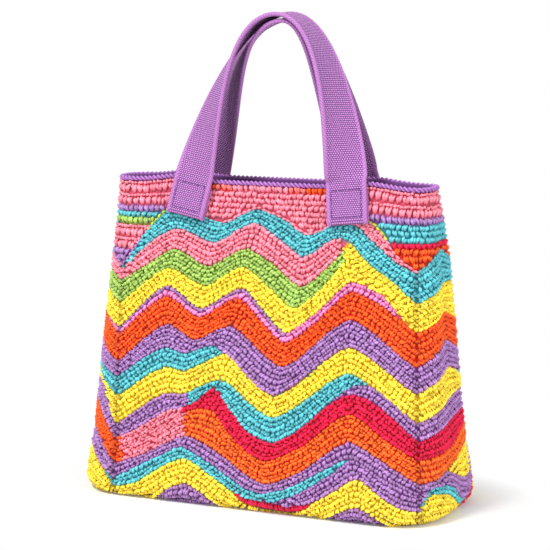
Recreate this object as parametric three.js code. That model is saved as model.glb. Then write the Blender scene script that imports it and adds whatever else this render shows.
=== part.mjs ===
// A crocheted tote bag with a flat base, ripple-stitch walls, a straight-rowed yoke,
// a corded rim and two webbing handles.
// Millimetres, +Z up. The origin is the middle of the base's underside and the front faces -Y.

import * as THREE from 'three';
import { mergeVertices } from 'three/addons/utils/BufferGeometryUtils.js';

// The body, measured over the crochet
const BAG_HEIGHT = 292;
const BASE_WIDTH = 355;
const BASE_DEPTH = 156;
const BASE_CORNER = 48;
const MOUTH_WIDTH = 312;
const MOUTH_DEPTH = 46;
const MOUTH_CORNER = 20;
const BOTTOM_ROUND = 14;

// The crochet fabric
const WALL = 6;
const RIDGE = 1;
const RIDGE_PITCH = 13.5;
const JOIN_GAP = 0.3;

// Where the side seams lie on the rounded corners, turned from the front or back wall
const BASE_LEFT_SEAM_TURN = 0;
const MOUTH_LEFT_SEAM_TURN = 18;
const BASE_RIGHT_SEAM_TURN = 47;
const MOUTH_RIGHT_SEAM_TURN = 25;

// Ripple rows of a wide panel by their peaks and dips from the left seam to the right one:
// a place, as a share of the way from the middle to a seam, and how far the top row lies below
// the bag's top or the other rows above the floor. Near the floor the two left peaks have run together.
const TOP_ROW_DROPS = [[-1, 84], [-0.69, 29], [-0.3, 42], [-0.03, 27], [0.29, 47], [0.5, 37], [1, 72]];
const WAIST_ROW = [[-1, 125], [-0.63, 159], [-0.43, 147], [-0.19, 161], [0.17, 129], [0.57, 175], [1, 136]];
const LOW_ROW = [[-1, 30], [-0.5, 60], [-0.42, 61], [-0.3, 57], [0.14, 23], [0.6, 70], [1, 37]];

// The same rows at the middle of a side panel
const TOP_SIDE_DROP = 57;
const WAIST_SIDE_HEIGHT = 153;
const LOW_SIDE_HEIGHT = 54;

// The yoke's straight rows and the rim
const YOKE_RIDGES = 5;
const RIM_HEIGHT = 6;
const RIM_PROUD = 1;
const RIM_LIFT = 4;
const RIM_LIFT_SPREAD = 25;
const FACING_THICK = 2;
const FACING_DROP = 20;

// The webbing handles; pairs are a handle's left and right legs, seen from its own side
const STRAP_WIDTH = 38;
const STRAP_THICK = 3;
const STRAP_SPACING = 149;
const STRAP_SHIFT = 5;
const STRAP_SEWN = 35;
const HEM_LENGTH = 28;
const HEM_STEP = 0.6;
const HANDLE_TOP = 440;
const TWIST_RISE = 4;
const NEST_GAP = 2.8;
const FRONT_SLANTS = [10.8, 6.2];
const FRONT_LEFT_RUN = 45;
const FRONT_RIGHT_RUN = 30;
const FRONT_LEFT_SHOULDER = 52;
const FRONT_RIGHT_SHOULDER = 48;
const FRONT_CROWN_SHIFT = 6.5;
const FRONT_TWIST = 1;
const FRONT_TWIST_EASES = [0.92, 0.5];
const BACK_SLANTS = [14.8, 16.5];
const BACK_LEFT_RUN = 73;
const BACK_RIGHT_RUN = 33;
const BACK_LEFT_SHOULDER = 26.6;
const BACK_RIGHT_SHOULDER = 54;
const BACK_CROWN_SHIFT = -11.8;
const BACK_TWIST = -0.97;
const BACK_TWIST_EASES = [0.62, 1.55];
const BACK_REACH = 2.5;

// The box of stitching on each strap end
const THREAD = 1.4;
const THREAD_HEIGHT = 0.8;
const STITCH_INSET = 5;

// How finely the curved walls are divided
const WIDE_COLUMNS = 24;
const SIDE_COLUMNS = 8;
const INNER_ROWS = 7;
const STRAP_STEPS = 22;

// The four sides, each a quarter turn on from the one before
const [FRONT, RIGHT, BACK, LEFT] = [0, 1, 2, 3];
const RIGHT_ANGLE = Math.PI / 2;
const FILLET_RUN = BOTTOM_ROUND * RIGHT_ANGLE;
const CROCHET_TOP = BAG_HEIGHT - RIM_HEIGHT;
const { lerp, degToRad } = THREE.MathUtils;

function isWide(side) {
  return side === FRONT || side === BACK;
}

// The bag's rounded-rectangle section at a height, drawn in by an inset
function sectionAt(z, inset) {
  const share = z / BAG_HEIGHT;
  return {
    halfWidth: lerp(BASE_WIDTH, MOUTH_WIDTH, share) / 2 - inset,
    halfDepth: lerp(BASE_DEPTH, MOUTH_DEPTH, share) / 2 - inset,
    corner: lerp(BASE_CORNER, MOUTH_CORNER, share) - inset,
  };
}

// A place on the section: u runs from -1 at a panel's left seam to 1 at its right seam,
// and the result holds the point and the outward direction in plan
function planPoint(side, u, z, inset) {
  const { halfWidth, halfDepth, corner } = sectionAt(z, inset);
  const wide = isWide(side);
  const half = wide ? halfWidth : halfDepth;
  const reach = wide ? halfDepth : halfWidth;
  const flat = half - corner;
  const leftSeam = degToRad(lerp(BASE_LEFT_SEAM_TURN, MOUTH_LEFT_SEAM_TURN, z / BAG_HEIGHT));
  const rightSeam = degToRad(lerp(BASE_RIGHT_SEAM_TURN, MOUTH_RIGHT_SEAM_TURN, z / BAG_HEIGHT));
  const leftTurn = wide ? leftSeam : RIGHT_ANGLE - rightSeam;
  const rightTurn = wide ? rightSeam : RIGHT_ANGLE - leftSeam;
  const run = Math.abs(u) * (flat + corner * (u < 0 ? leftTurn : rightTurn));
  const turn = Math.max(0, run - flat) / corner;
  const along = Math.sign(u) * (Math.min(run, flat) + corner * Math.sin(turn));
  const point = new THREE.Vector2(along, -(reach - corner + corner * Math.cos(turn)));
  const outward = new THREE.Vector2(Math.sign(u) * Math.sin(turn), -Math.cos(turn));
  const middle = new THREE.Vector2(0, 0);
  point.rotateAround(middle, side * RIGHT_ANGLE);
  outward.rotateAround(middle, side * RIGHT_ANGLE);
  return { point, outward };
}

// A place on the wall: rise is measured along the wall from the base's edge,
// round the bottom curve and up, and out is the distance outside the mean outer face,
// where a ridge dies away towards the underside
function wallPoint(side, u, rise, out) {
  const bend = Math.max(0, 1 - rise / FILLET_RUN) * RIGHT_ANGLE;
  const inset = BOTTOM_ROUND * (1 - Math.cos(bend));
  const z = BOTTOM_ROUND * (1 - Math.sin(bend)) + Math.max(0, rise - FILLET_RUN);
  const { point, outward } = planPoint(side, u, z, inset);
  const proud = out > 0 ? out * Math.cos(bend) : out;
  point.addScaledVector(outward, proud * Math.cos(bend));
  return new THREE.Vector3(point.x, point.y, z - proud * Math.sin(bend));
}

function riseOf(z) {
  return z - BOTTOM_ROUND + FILLET_RUN;
}

// A smooth ripple line through its turns, as a rise along the wall
function rippleRise(turns, u) {
  const last = turns.findIndex((turn, index) => index > 0 && u <= turn[0]);
  const index = last < 0 ? turns.length - 1 : last;
  const [fromPlace, fromHeight] = turns[index - 1];
  const [toPlace, toHeight] = turns[index];
  const share = (u - fromPlace) / (toPlace - fromPlace);
  return riseOf(lerp(fromHeight, toHeight, (1 - Math.cos(Math.PI * share)) / 2));
}

// A side panel starts at a wide panel's right seam and ends at the next one's left seam
function sideRow(wideRow, middleHeight) {
  return [[-1, wideRow.at(-1)[1]], [0, middleHeight], [1, wideRow[0][1]]];
}

const TOP_ROW = TOP_ROW_DROPS.map(([place, drop]) => [place, BAG_HEIGHT - drop]);
const WIDE_ROWS = { top: TOP_ROW, waist: WAIST_ROW, low: LOW_ROW };
const SIDE_ROWS = {
  top: sideRow(TOP_ROW, BAG_HEIGHT - TOP_SIDE_DROP),
  waist: sideRow(WAIST_ROW, WAIST_SIDE_HEIGHT),
  low: sideRow(LOW_ROW, LOW_SIDE_HEIGHT),
};

function rowsOf(side) {
  return isWide(side) ? WIDE_ROWS : SIDE_ROWS;
}

function topRise(side, u) {
  return rippleRise(rowsOf(side).top, u);
}

function meanRise(turns) {
  const total = turns.reduce((sum, turn) => sum + riseOf(turn[1]), 0);
  return total / turns.length;
}

const TOP_MEAN = meanRise(WIDE_ROWS.top);
const WAIST_SHARE = meanRise(WIDE_ROWS.waist) / TOP_MEAN;
const LOW_SHARE = meanRise(WIDE_ROWS.low) / TOP_MEAN;

// The rise of a ripple row, with share 0 at the base's edge and 1 at the ripple's top edge
function rowRise(side, u, share) {
  const rows = rowsOf(side);
  const low = rippleRise(rows.low, u);
  const waist = rippleRise(rows.waist, u);
  if (share < LOW_SHARE) {
    return low * share / LOW_SHARE;
  }
  if (share < WAIST_SHARE) {
    return lerp(low, waist, (share - LOW_SHARE) / (WAIST_SHARE - LOW_SHARE));
  }
  return lerp(waist, topRise(side, u), (share - WAIST_SHARE) / (1 - WAIST_SHARE));
}

// A closed solid from a moulded geometry whose vertices are moved by a function
function moulded(geometry, place) {
  const position = geometry.getAttribute('position');
  const vertex = new THREE.Vector3();
  for (let index = 0; index < position.count; index += 1) {
    vertex.fromBufferAttribute(position, index);
    const placed = place(vertex, index);
    position.setXYZ(index, placed.x, placed.y, placed.z);
  }
  geometry.deleteAttribute('normal');
  geometry.deleteAttribute('uv');
  return mergeVertices(geometry);
}

function crestAt(row, rows) {
  if (row === 0 || row === rows) {
    return 0;
  }
  return row % 2 ? RIDGE : -RIDGE;
}

// A ripple-stitch wall between two seams: its ridged profile is swept from seam to seam
function ripplePanel(side) {
  const rows = 2 * Math.round(TOP_MEAN / RIDGE_PITCH);
  const profile = new THREE.Shape();
  profile.moveTo(WALL, 0);
  for (let row = 0; row <= rows; row += 1) {
    profile.lineTo(-crestAt(row, rows), row / rows);
  }
  for (let row = INNER_ROWS; row > 0; row -= 1) {
    profile.lineTo(WALL, row / INNER_ROWS);
  }
  const columns = isWide(side) ? WIDE_COLUMNS : SIDE_COLUMNS;
  const sweep = new THREE.ExtrudeGeometry(profile, { depth: 1, steps: columns, bevelEnabled: false });
  const { halfWidth, halfDepth } = sectionAt(BAG_HEIGHT, 0);
  const seamShare = 1 - JOIN_GAP / 2 / (isWide(side) ? halfWidth : halfDepth);
  return moulded(sweep, (vertex) => {
    const u = seamShare * (2 * vertex.z - 1);
    return wallPoint(side, u, rowRise(side, u, vertex.y), -vertex.x);
  });
}

// The columns of a ring round the whole bag, the same as those of the four panels
const STATIONS = [FRONT, RIGHT, BACK, LEFT].flatMap((side) => {
  const columns = isWide(side) ? WIDE_COLUMNS : SIDE_COLUMNS;
  return Array.from({ length: columns }, (_, column) => ({ side, u: 2 * column / columns - 1 }));
});

// A closed ring round the bag: each profile entry gives a point at a station
function ringSolid(profile) {
  const outline = profile.map((_, index) => new THREE.Vector2(1, index));
  outline.push(outline[0]);
  const ring = new THREE.LatheGeometry(outline, STATIONS.length);
  return moulded(ring, (_, index) => {
    const station = STATIONS[Math.floor(index / outline.length) % STATIONS.length];
    const place = profile[index % outline.length % profile.length];
    return place(station.side, station.u);
  });
}

// The rim rises a little beside each strap, which carries the load there
function rimRise(side, u) {
  const { point } = planPoint(side, u, CROCHET_TOP, 0);
  const along = side === BACK ? -point.x : point.x;
  const strapEdge = (STRAP_SPACING + STRAP_WIDTH) / 2;
  const away = (Math.abs(along - STRAP_SHIFT) - strapEdge) / RIM_LIFT_SPREAD;
  const lift = isWide(side) ? RIM_LIFT * Math.exp(-away * away) : 0;
  return riseOf(CROCHET_TOP) + lift;
}

// The yoke: straight rows that fill the ripple's dips up to a level rim
function yokeSolid() {
  const rows = 2 * YOKE_RIDGES;
  const bottom = (side, u) => topRise(side, u) + JOIN_GAP;
  const outer = Array.from({ length: rows + 1 }, (_, row) => (side, u) => {
    const rise = lerp(bottom(side, u), rimRise(side, u), row / rows);
    return wallPoint(side, u, rise, crestAt(row, rows));
  });
  const innerTop = (side, u) => wallPoint(side, u, rimRise(side, u), -WALL);
  const innerBottom = (side, u) => wallPoint(side, u, bottom(side, u), -WALL);
  return ringSolid([...outer, innerTop, innerBottom]);
}

// The rim: a corded edge on top of the yoke, with a facing that hangs inside it
function rimSolid() {
  const inside = -(WALL + JOIN_GAP);
  const back = inside - FACING_THICK;
  const middle = (RIM_PROUD + back) / 2;
  const corners = [
    [RIM_PROUD, JOIN_GAP],
    [RIM_PROUD, RIM_HEIGHT / 2],
    [middle, RIM_HEIGHT],
    [back, RIM_HEIGHT / 2],
    [back, -FACING_DROP],
    [inside, -FACING_DROP],
    [inside, JOIN_GAP],
  ];
  return ringSolid(corners.map(([out, above]) => (side, u) => (
    wallPoint(side, u, rimRise(side, u) + above, out)
  )));
}

// The base: a flat slab inside the panels' lower edges
function baseSolid() {
  const outline = STATIONS.map(({ side, u }) => planPoint(side, u, 0, BOTTOM_ROUND + JOIN_GAP).point);
  return new THREE.ExtrudeGeometry(new THREE.Shape(outline), { depth: WALL, bevelEnabled: false });
}

// The leaning plane of the front wall, where the straps are sewn
const WALL_LEAN = (BASE_DEPTH - MOUTH_DEPTH) / 2 / BAG_HEIGHT;
const WALL_UP = new THREE.Vector3(0, WALL_LEAN, 1).normalize();
const WALL_OUT = new THREE.Vector3(0, -1, WALL_LEAN).normalize();
const LEVEL_OUT = new THREE.Vector3(0, -1, 0);
const STRAP_SEAT = RIDGE + JOIN_GAP + STRAP_THICK;

// Where a front strap crosses the rim, and the way that it runs up the wall there
function strapLine(leg, slant, out) {
  const rim = new THREE.Vector3(STRAP_SHIFT + leg * STRAP_SPACING / 2, -MOUTH_DEPTH / 2, BAG_HEIGHT);
  rim.addScaledVector(WALL_OUT, out);
  const way = WALL_UP.clone().multiplyScalar(Math.cos(degToRad(slant)));
  way.x = -leg * Math.sin(degToRad(slant));
  return { rim, way };
}

// A handle's middle line from the left sewn end, over the crown, to the right one
function handlePath({ slants, runs, twistEases, shoulders, crown }) {
  const legs = [-1, 1].map((leg, index) => {
    const { rim, way } = strapLine(leg, slants[index], STRAP_SEAT + STRAP_THICK / 2);
    const end = rim.clone().addScaledVector(way, -STRAP_SEWN);
    const run = rim.clone().addScaledVector(way, runs[index]);
    const bend = new THREE.Vector3(crown.x + leg * shoulders[index], crown.y, crown.z);
    return { end, way, ease: twistEases[index], arch: new THREE.CubicBezierCurve3(rim, run, bend, crown) };
  });
  const stops = [];
  const addSewn = ({ end, way, ease }, lengths, sign) => lengths.forEach((length) => {
    const point = end.clone().addScaledVector(way, length);
    stops.push({ point, way: way.clone().multiplyScalar(sign), ease, hem: length <= HEM_LENGTH });
  });
  const addArch = ({ arch, ease }, first, last, step) => {
    for (let index = first; index !== last; index += step) {
      const share = index / STRAP_STEPS;
      const way = arch.getTangent(share).multiplyScalar(step);
      stops.push({ point: arch.getPoint(share), way, ease, hem: false });
    }
  };
  addSewn(legs[0], [0, HEM_LENGTH, HEM_LENGTH + HEM_STEP], 1);
  addArch(legs[0], 0, STRAP_STEPS, 1);
  addArch(legs[1], STRAP_STEPS, -1, -1);
  addSewn(legs[1], [HEM_LENGTH + HEM_STEP, HEM_LENGTH, 0], -1);
  return stops;
}

// A handle: flat on the wall at its sewn ends, where it is turned under,
// and twisted a quarter turn each way so that it lies flat over the crown
function handleSolid(shape) {
  const stops = handlePath(shape);
  const sweep = new THREE.BoxGeometry(1, 1, 1, 1, stops.length - 1, 1);
  return moulded(sweep, (vertex) => {
    const stop = stops[Math.round((vertex.y + 0.5) * (stops.length - 1))];
    const twistFrom = BAG_HEIGHT + TWIST_RISE;
    const climb = (stop.point.z - twistFrom) / (shape.crown.z - twistFrom);
    const share = THREE.MathUtils.clamp(climb, 0, 1);
    const turn = shape.twist * RIGHT_ANGLE * share ** stop.ease;
    const facing = WALL_OUT.clone().lerp(LEVEL_OUT, share);
    facing.addScaledVector(stop.way, -facing.dot(stop.way)).normalize();
    const radial = facing.clone().cross(stop.way).normalize();
    const out = facing.multiplyScalar(Math.cos(turn)).addScaledVector(radial, Math.sin(turn));
    const across = stop.way.clone().cross(out).normalize();
    const under = stop.hem && vertex.z < 0 ? STRAP_THICK : 0;
    const point = stop.point.clone();
    point.addScaledVector(across, vertex.x * STRAP_WIDTH);
    return point.addScaledVector(out, vertex.z * STRAP_THICK - under);
  });
}

// The sewn box on a strap end: one flat ring of thread on the strap's face
function stitchSolid() {
  const width = STRAP_WIDTH - 2 * STITCH_INSET;
  const length = STRAP_SEWN - RIM_HEIGHT - STITCH_INSET;
  const rectangle = (grow) => [
    new THREE.Vector2(-width / 2 - grow, -grow),
    new THREE.Vector2(width / 2 + grow, -grow),
    new THREE.Vector2(width / 2 + grow, length + grow),
    new THREE.Vector2(-width / 2 - grow, length + grow),
  ];
  const ring = new THREE.Shape(rectangle(THREAD / 2));
  ring.holes.push(new THREE.Path(rectangle(-THREAD / 2)));
  return new THREE.ExtrudeGeometry(ring, { depth: THREAD_HEIGHT, bevelEnabled: false });
}

const tote = new THREE.Group();

function addNode(parent, name, geometry, colour, roughness) {
  const material = new THREE.MeshStandardMaterial({ color: colour, roughness, metalness: 0 });
  const mesh = new THREE.Mesh(geometry, material);
  mesh.name = name;
  parent.add(mesh);
  return mesh;
}

const YARN_ROUGHNESS = 0.85;
const WEBBING_ROUGHNESS = 0.75;
const THREAD_ROUGHNESS = 0.6;
const PURPLE = '#9a5cc0';
const DEEP_PURPLE = '#7a3fa6';

addNode(tote, 'front_panel', ripplePanel(FRONT), '#f76a24', YARN_ROUGHNESS);
addNode(tote, 'right_gusset', ripplePanel(RIGHT), '#f9d93c', YARN_ROUGHNESS);
addNode(tote, 'back_panel', ripplePanel(BACK), '#3fc0cc', YARN_ROUGHNESS);
addNode(tote, 'left_gusset', ripplePanel(LEFT), '#b583d2', YARN_ROUGHNESS);
addNode(tote, 'yoke', yokeSolid(), '#fb8296', YARN_ROUGHNESS);
addNode(tote, 'base_panel', baseSolid(), '#a873cb', YARN_ROUGHNESS);
addNode(tote, 'rim_binding', rimSolid(), '#8f52b8', YARN_ROUGHNESS);

// Each half of the bag holds one handle and its two boxes of stitching,
// and the back half is made in front and turned round
function addHandle(prefix, halfTurns, shape) {
  const half = new THREE.Group();
  half.rotation.z = halfTurns * Math.PI;
  addNode(half, `${prefix}_handle`, handleSolid(shape), PURPLE, WEBBING_ROUGHNESS);
  [['left', -1], ['right', 1]].forEach(([word, leg], index) => {
    const face = STRAP_SEAT + STRAP_THICK + JOIN_GAP;
    const { rim, way } = strapLine(leg, shape.slants[index], face);
    const across = way.clone().cross(WALL_OUT);
    const name = `${prefix}_${word}_stitching`;
    const stitching = addNode(half, name, stitchSolid(), DEEP_PURPLE, THREAD_ROUGHNESS);
    stitching.quaternion.setFromRotationMatrix(new THREE.Matrix4().makeBasis(across, way, WALL_OUT));
    stitching.position.copy(rim).addScaledVector(way, STITCH_INSET - STRAP_SEWN);
  });
  tote.add(half);
}

// The back handle's crown lies under the front one's, with the same face of both upwards there
addHandle('front', 0, {
  slants: FRONT_SLANTS,
  runs: [FRONT_LEFT_RUN, FRONT_RIGHT_RUN],
  twistEases: FRONT_TWIST_EASES,
  twist: FRONT_TWIST,
  shoulders: [FRONT_LEFT_SHOULDER, FRONT_RIGHT_SHOULDER],
  crown: new THREE.Vector3(FRONT_CROWN_SHIFT, 0, HANDLE_TOP),
});
addHandle('back', 1, {
  slants: BACK_SLANTS,
  runs: [BACK_LEFT_RUN, BACK_RIGHT_RUN],
  twistEases: BACK_TWIST_EASES,
  twist: BACK_TWIST,
  shoulders: [BACK_LEFT_SHOULDER, BACK_RIGHT_SHOULDER],
  crown: new THREE.Vector3(BACK_CROWN_SHIFT, -BACK_REACH, HANDLE_TOP - STRAP_THICK - NEST_GAP),
});

export default tote;
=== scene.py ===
# %% [markdown]
# # A crocheted tote bag
#
# The bag stands open on its flat base. Four walls are worked in ripple crochet, a straight pink
# yoke closes them at the top, a twisted cord runs round the mouth, and two handles of woven
# webbing are sewn on outside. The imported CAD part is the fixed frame, so every piece below is
# made in its place and rides on it.

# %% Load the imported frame
import math
from math import pi

import bmesh
import bpy
import numpy as np
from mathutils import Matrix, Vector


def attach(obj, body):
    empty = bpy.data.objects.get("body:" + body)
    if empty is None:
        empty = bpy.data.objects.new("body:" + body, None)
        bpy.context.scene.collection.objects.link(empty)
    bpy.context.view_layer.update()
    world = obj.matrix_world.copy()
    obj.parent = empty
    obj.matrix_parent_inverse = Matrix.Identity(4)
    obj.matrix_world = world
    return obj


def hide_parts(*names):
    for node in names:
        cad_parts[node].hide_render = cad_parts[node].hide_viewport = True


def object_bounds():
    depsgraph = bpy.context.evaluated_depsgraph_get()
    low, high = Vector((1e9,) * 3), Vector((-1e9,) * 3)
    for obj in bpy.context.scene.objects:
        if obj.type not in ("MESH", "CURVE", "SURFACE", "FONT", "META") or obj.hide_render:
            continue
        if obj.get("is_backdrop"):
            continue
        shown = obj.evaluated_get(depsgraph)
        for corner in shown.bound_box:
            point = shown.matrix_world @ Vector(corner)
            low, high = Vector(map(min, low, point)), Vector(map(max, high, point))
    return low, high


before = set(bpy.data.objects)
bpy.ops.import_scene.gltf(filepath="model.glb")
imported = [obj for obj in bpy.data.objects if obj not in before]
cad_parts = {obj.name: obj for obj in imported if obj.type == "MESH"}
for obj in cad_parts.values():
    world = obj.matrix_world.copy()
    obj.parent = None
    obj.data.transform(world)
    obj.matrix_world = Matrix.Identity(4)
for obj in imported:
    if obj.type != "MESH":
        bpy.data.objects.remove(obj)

MM = 0.001
scene = bpy.context.scene
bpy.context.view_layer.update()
print("frame nodes:", sorted(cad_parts))


def add_object(name, data):
    item = bpy.data.objects.new(name, data)
    scene.collection.objects.link(item)
    return item


def mesh_of(name, shape):
    """A smooth mesh of a finished shape."""
    mesh = bpy.data.meshes.new(name)
    shape.to_mesh(mesh)
    shape.free()
    mesh.shade_smooth()
    return mesh


# %% [markdown]
# ## The camera
# The picture was taken from a little to the right of the front, slightly above the bag, with a
# long lens. The numbers were fitted by laying the CAD outline over the picture, so no shift is
# needed.

# %% Camera
CAMERA_TURN, CAMERA_DOWN = math.radians(24), math.radians(8.37)
CAMERA_HEADING, CAMERA_AWAY, CAMERA_HEIGHT = math.radians(24.05), 1.700, 0.4534
FOCAL_LENGTH, SENSOR_WIDTH = 122.93, 36
lens = bpy.data.cameras.new("lens")
lens.lens, lens.sensor_width = FOCAL_LENGTH, SENSOR_WIDTH
camera = add_object("camera", lens)
camera.location = (CAMERA_AWAY * math.sin(CAMERA_TURN), -CAMERA_AWAY * math.cos(CAMERA_TURN),
                   CAMERA_HEIGHT)
camera.rotation_euler = (pi / 2 - CAMERA_DOWN, 0, CAMERA_HEADING)
scene.camera = camera
scene.view_settings.view_transform = "Standard"
print("camera at", [round(c, 3) for c in camera.location])

# %% [markdown]
# ## Shader maths
# A material is a net of nodes. Wrapping one socket in a small class lets the net be written as
# sums and products, and one method makes any other node.


# %% A socket that can be added and multiplied
class Shade:
    """One output socket of a node tree."""

    def __init__(self, tree, socket=None):
        self.tree, self.socket = tree, socket

    def node(self, kind, sockets=None, out=0, **settings):
        """Makes a node. Its kind is Blender's name for it, without ShaderNode in front."""
        node = self.tree.nodes.new("ShaderNode" + kind)
        for name, value in settings.items():
            setattr(node, name, value)
        self.put(node, sockets or {})
        return Shade(self.tree, node.outputs[out]) if node.outputs else node

    def put(self, node, sockets):
        for name, value in sockets.items():
            if isinstance(value, Shade):
                self.tree.links.new(value.socket, node.inputs[name])
            else:
                node.inputs[name].default_value = value

    def beside(self, name):
        """Another output of the node that this one comes from."""
        return Shade(self.tree, self.socket.node.outputs[name])

    def math(self, operation, *values):
        return self.node("Math", dict(enumerate(values)), operation=operation)

    def vector(self, operation, *values, out=0):
        return self.node("VectorMath", dict(enumerate(values)), out, operation=operation)

    def __add__(self, other):
        return self.math("ADD", self, other)

    def __rsub__(self, other):
        return self.math("SUBTRACT", other, self)

    def __mul__(self, other):
        return self.math("MULTIPLY", self, other)

    def __truediv__(self, other):
        return self.math("DIVIDE", self, other)

    __radd__ = __add__

    def sin(self):
        return self.math("SINE", self)

    def ramp(self, low, high, first=0.0, last=1.0, kind="LINEAR"):
        """Goes from first to last while this value goes from low to high."""
        sockets = {0: self, 1: low, 2: high, 3: first, 4: last}
        return self.node("MapRange", sockets, interpolation_type=kind)

    def noise(self, scale):
        place = self.node("TexCoord", out="Object")
        return self.node("TexNoise", {"Vector": place, "Scale": scale, "Detail": 2.0})

    def tint(self, other):
        """This colour multiplied by another colour or by a grey value."""
        return self.node("Mix", {0: 1.0, 6: self, 7: other}, 2, data_type="RGBA",
                         blend_type="MULTIPLY")


def new_material(name):
    material = bpy.data.materials.new(name)
    material.use_nodes = True
    return material, Shade(material.node_tree)


# %% [markdown]
# ## Floor and light
# The bag stands on a white table in a bright room: one large soft light in front and above, and
# an even white surround. The camera sees the surround as plain white, and the floor keeps the
# soft contact shadow.

# %% Surround
SURROUND, WHITE = 0.5, (1, 1, 1, 1)
world = bpy.data.worlds.new("surround")
scene.world = world
world.use_nodes = True
world.node_tree.nodes.clear()
sky = Shade(world.node_tree)
ray = sky.node("LightPath", out="Is Camera Ray")
seen = sky.math("MAXIMUM", ray, ray.beside("Is Glossy Ray"))
seen = sky.math("MAXIMUM", seen, ray.beside("Is Transmission Ray"))
lighting = sky.node("Background", {"Color": WHITE, "Strength": SURROUND})
backdrop = sky.node("Background", {"Color": WHITE, "Strength": 1.0})
both = sky.node("MixShader", {0: seen, 1: lighting, 2: backdrop})
sky.node("OutputWorld", {"Surface": both})
print("surround", SURROUND)

# %% Floor
FLOOR_HALF, TABLE_GREY, NEAR_WHITE = 12, (0.9, 0.9, 0.9, 1), 0.1
BAG_REACH, FADE_FROM, FADE_TO = (0.13, 0.03, 0), 0.045, 0.105
floor_shape = bmesh.new()
bmesh.ops.create_grid(floor_shape, x_segments=1, y_segments=1, size=FLOOR_HALF)
floor = add_object("floor", mesh_of("floor", floor_shape))
floor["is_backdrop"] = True
table_white, top = new_material("table_white")
table_white.node_tree.nodes.clear()
matt = top.node("BsdfDiffuse", {"Color": TABLE_GREY})
white = top.node("Emission", {"Color": WHITE, "Strength": 1.0})
spot = top.vector("ABSOLUTE", top.node("TexCoord", out="Object"))
past = top.vector("MAXIMUM", top.vector("SUBTRACT", spot, BAG_REACH), (0, 0, 0))
fade = top.vector("LENGTH", past, out=1).ramp(FADE_FROM, FADE_TO, NEAR_WHITE)
share = top.node("LightPath", out="Is Camera Ray") * fade
lit_table = top.node("MixShader", {0: share, 1: matt, 2: white})
top.node("OutputMaterial", {"Surface": lit_table})
floor.data.materials.append(table_white)
print("the floor is white from", FADE_TO, "m past the bag")

# %% Lamps
LAMP_AIM = 0.2


def soft_lamp(name, place, size, watts):
    lamp = bpy.data.lights.new(name, "AREA")
    lamp.size, lamp.energy = size, watts
    holder = add_object(name, lamp)
    holder.location = place
    aim = -holder.location
    aim.z += LAMP_AIM
    holder.rotation_euler = aim.to_track_quat("-Z", "Y").to_euler()
    print(name, watts, "W")


soft_lamp("key_light", (-0.6, -1.3, 2.3), 0.6, 54)
soft_lamp("fill_light", (1.7, -0.9, 1.0), 1.0, 16)

# %% [markdown]
# ## The yarns
# The bag is worked in thick matt cotton. Each ball of yarn is one colour, written here as it
# looks on a screen and turned to the linear values that Blender mixes.


# %% Colours of the yarn
def dye(red, green, blue):
    share = np.array([red, green, blue]) / 255
    return np.where(share <= 0.04045, share / 12.92, ((share + 0.055) / 1.055) ** 2.4)


PINK, MAUVE, CRIMSON = dye(249, 156, 172), dye(236, 150, 200), dye(234, 34, 88)
ORANGE, AMBER, YELLOW = dye(250, 108, 38), dye(252, 124, 46), dye(255, 231, 84)
GREEN, LIME, TEAL = dye(176, 209, 114), dye(206, 210, 76), dye(108, 202, 210)
LILAC, PURPLE = dye(182, 143, 198), dye(162, 106, 194)
print("pink in linear values:", PINK.round(3))

# %% [markdown]
# ## The yarn finish
# Cotton yarn is a bundle of twisted plies with a soft, dull surface. The colour comes from the
# piece's own attribute, which also holds painted shade and highlights, a fine noise makes the
# fibres, and slanting lines that follow each strand make the plies, in the bump and as painted
# light and shade in the colour.

# %% Yarn material
FIBRE_SCALE, PATCH_SCALE = 1500.0, 60.0
PLIES_ALONG, PLIES_ROUND = 5.2, 9.4


def cotton(name, twist, fuzz):
    material, tree = new_material(name)
    colour = tree.node("Attribute", attribute_name="yarn")
    fibre, patch = tree.noise(FIBRE_SCALE), tree.noise(PATCH_SCALE)
    along = tree.node("SeparateXYZ", {0: tree.node("UVMap", uv_map="strand")})
    ply = (along * PLIES_ALONG + along.beside(1) * PLIES_ROUND).sin() * 0.5 + 0.5
    height = ply * twist + fibre * fuzz
    # The yarn attribute brings each leg's painted shade and highlight, and the ply lines lighten
    # and darken the colour as painted light and shade on the plies.
    tree.put(material.node_tree.nodes["Principled BSDF"], {
        "Base Color": colour.tint(0.66 + fibre * 0.2 + patch * 0.14 + ply * 0.36),
        "Roughness": 0.72 + fibre * 0.2,
        "Normal": tree.node("Bump", {"Strength": 0.5, "Distance": 0.0004, "Height": height}),
        "Sheen Weight": 0.12, "Specular IOR Level": 0.25})
    return material


yarn = cotton("cotton_yarn", 0.7, 0.5)
cord_yarn = cotton("cotton_cord", 1.0, 0.5)
print("made", yarn.name, cord_yarn.name)

# %% [markdown]
# ## The shape of the walls
# The bag is a soft box that narrows from its base to its mouth, with round corners and a rounded
# bottom edge. A place on it is given by the side, how far across that side (-1 to 1), how far up
# along the wall, and how far out of the cloth. Everything below is set out with this one
# surface, in millimetres. A few slow waves let the cloth hang slack, one narrow side has
# sunk in, the other is drawn in at the mouth, and the lowest rows bulge.

# %% Places on the walls
BAG_HEIGHT, BOTTOM_ROUND = 292, 14
BASE_WIDTH, BASE_DEPTH, BASE_CORNER = 355, 156, 48
MOUTH_WIDTH, MOUTH_DEPTH, MOUTH_CORNER = 312, 46, 20
LEFT_SEAM, RIGHT_SEAM = np.radians([0, 18]), np.radians([47, 25])  # at the base and at the mouth
FRONT, RIGHT, BACK, LEFT = range(4)
SLACK, BULGE, BULGE_RUN = 1.2, 2.0, 60
WAVES = [(1, 3.1, 5.3, 1), (0.6, 6.7, -4.1, 2)]  # size, turns across, turns up, start
HOLLOW, NIP = (0, -1, 0, 2.5), (0, 4, 0, 0)  # for each of the four sides
CURVE_RUN = BOTTOM_ROUND * pi / 2


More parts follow.
